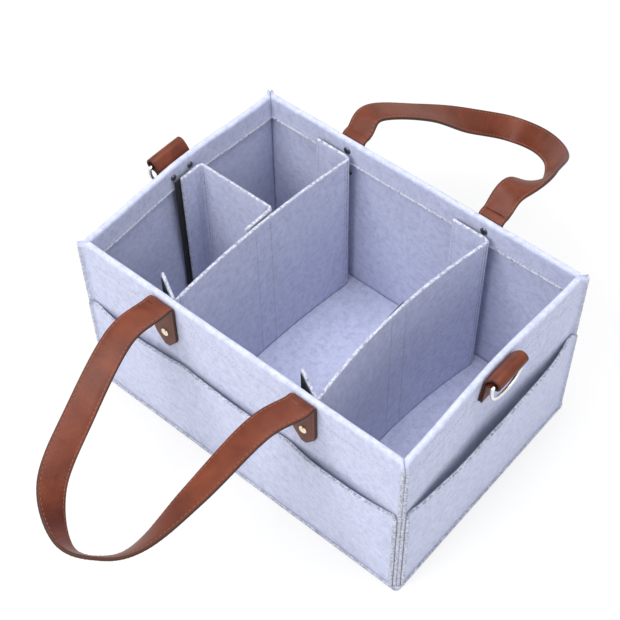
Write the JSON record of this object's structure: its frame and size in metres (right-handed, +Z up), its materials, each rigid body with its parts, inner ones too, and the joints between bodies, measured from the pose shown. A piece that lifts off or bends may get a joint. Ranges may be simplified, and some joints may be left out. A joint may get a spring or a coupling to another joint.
{
  "type": "diaper caddy",
  "caption": "Open felt diaper caddy with folded rims, outer pockets, lift-out dividers with hook-strip flaps, draped leather strap handles and D-rings on the end walls.",
  "frame": {"origin": "centre of the base panel, on the floor it stands on", "axes": "+Z up, +X along the long walls to the right, -Y towards the front wall; the draped handles reach out along Y"},
  "size_m": [0.3631, 0.5852, 0.1873],
  "materials": {
    "felt": "needled felt, matte",
    "strap_leather": "coated leather, semi-gloss",
    "hook_tape": "woven hook tape",
    "ring": "polished nickel",
    "rivet": "polished pale brass"
  },
  "bodies": {
    "shell": {"base_panel": "felt", "front_wall": "felt", "back_wall": "felt", "left_wall": "felt", "right_wall": "felt", "front_pocket": "felt", "back_pocket": "felt", "left_pocket": "felt", "right_pocket": "felt", "front_left_handle_tab": "strap_leather", "front_left_handle_upper_rivet": "rivet", "front_left_handle_lower_rivet": "rivet", "front_right_handle_tab": "strap_leather", "front_right_handle_upper_rivet": "rivet", "front_right_handle_lower_rivet": "rivet", "back_left_handle_tab": "strap_leather", "back_left_handle_upper_rivet": "rivet", "back_left_handle_lower_rivet": "rivet", "back_right_handle_tab": "strap_leather", "back_right_handle_upper_rivet": "rivet", "back_right_handle_lower_rivet": "rivet", "left_ring_tab": "strap_leather", "left_ring_tab_front_rivet": "rivet", "left_ring_tab_back_rivet": "rivet", "right_ring_tab": "strap_leather", "right_ring_tab_front_rivet": "rivet", "right_ring_tab_back_rivet": "rivet"},
    "front_handle": {"front_handle_strap": "strap_leather"},
    "back_handle": {"back_handle_strap": "strap_leather"},
    "left_ring": {"left_d_ring": "ring"},
    "right_ring": {"right_d_ring": "ring"},
    "left_divider_panel": {"left_divider": "felt", "left_divider_dock_strip": "hook_tape"},
    "left_divider_front_wing": {"left_divider_front_flap": "felt", "left_divider_front_hook_strip": "hook_tape"},
    "left_divider_back_wing": {"left_divider_back_flap": "felt", "left_divider_back_hook_strip": "hook_tape"},
    "right_divider_panel": {"right_divider": "felt", "right_divider_dock_strip": "hook_tape"},
    "right_divider_front_wing": {"right_divider_front_flap": "felt", "right_divider_front_hook_strip": "hook_tape"},
    "right_divider_back_wing": {"right_divider_back_flap": "felt", "right_divider_back_hook_strip": "hook_tape"},
    "short_divider_panel": {"short_divider": "felt"},
    "short_divider_left_wing": {"short_divider_left_flap": "felt", "short_divider_left_hook_strip": "hook_tape"},
    "short_divider_right_wing": {"short_divider_right_flap": "felt"}
  },
  "joints": [
    {"name": "front_handle_swing", "type": "hinge", "parent": "shell", "child": "front_handle", "pos_m": [0, -0.1197, 0.177], "axis": [-1, 0, 0], "range_deg": [-40, 102]},
    {"name": "back_handle_swing", "type": "hinge", "parent": "shell", "child": "back_handle", "pos_m": [0, 0.1197, 0.177], "axis": [1, 0, 0], "range_deg": [-40, 92]},
    {"name": "left_ring_swing", "type": "hinge", "parent": "shell", "child": "left_ring", "pos_m": [-0.18, 0, 0.1783], "axis": [0, 1, 0], "range_deg": [-8, 150]},
    {"name": "right_ring_swing", "type": "hinge", "parent": "shell", "child": "right_ring", "pos_m": [0.17229, 0, 0.1783], "axis": [0, -1, 0], "range_deg": [-8, 150]},
    {"name": "left_divider_lift", "type": "slide", "parent": "shell", "child": "left_divider_panel", "axis": [0, 0, 1], "range_m": [0, 0.19]},
    {"name": "right_divider_lift", "type": "slide", "parent": "shell", "child": "right_divider_panel", "axis": [0, 0, 1], "range_m": [0, 0.19]},
    {"name": "short_divider_lift", "type": "slide", "parent": "shell", "child": "short_divider_panel", "axis": [0, 0, 1], "range_m": [0, 0.19]},
    {"name": "left_divider_front_flap_fold", "type": "hinge", "parent": "left_divider_panel", "child": "left_divider_front_wing", "pos_m": [-0.07311, -0.1038, 0.083], "axis": [0, 0, -1], "range_deg": [-30, 35]},
    {"name": "left_divider_back_flap_fold", "type": "hinge", "parent": "left_divider_panel", "child": "left_divider_back_wing", "pos_m": [-0.07311, 0.1038, 0.083], "axis": [0, 0, 1], "range_deg": [0, 65]},
    {"name": "right_divider_front_flap_fold", "type": "hinge", "parent": "right_divider_panel", "child": "right_divider_front_wing", "pos_m": [0.07313, -0.1038, 0.083], "axis": [0, 0, -1], "range_deg": [-30, 35]},
    {"name": "right_divider_back_flap_fold", "type": "hinge", "parent": "right_divider_panel", "child": "right_divider_back_wing", "pos_m": [0.07313, 0.1038, 0.083], "axis": [0, 0, 1], "range_deg": [0, 65]},
    {"name": "short_divider_left_flap_fold", "type": "hinge", "parent": "short_divider_panel", "child": "short_divider_left_wing", "pos_m": [-0.1585, 0.0147, 0.083], "axis": [0, 0, 1], "range_deg": [0, 65]},
    {"name": "short_divider_right_flap_fold", "type": "hinge", "parent": "short_divider_panel", "child": "short_divider_right_wing", "pos_m": [-0.08, 0.0147, 0.083], "axis": [0, 0, -1], "range_deg": [0, 65]}
  ]
}
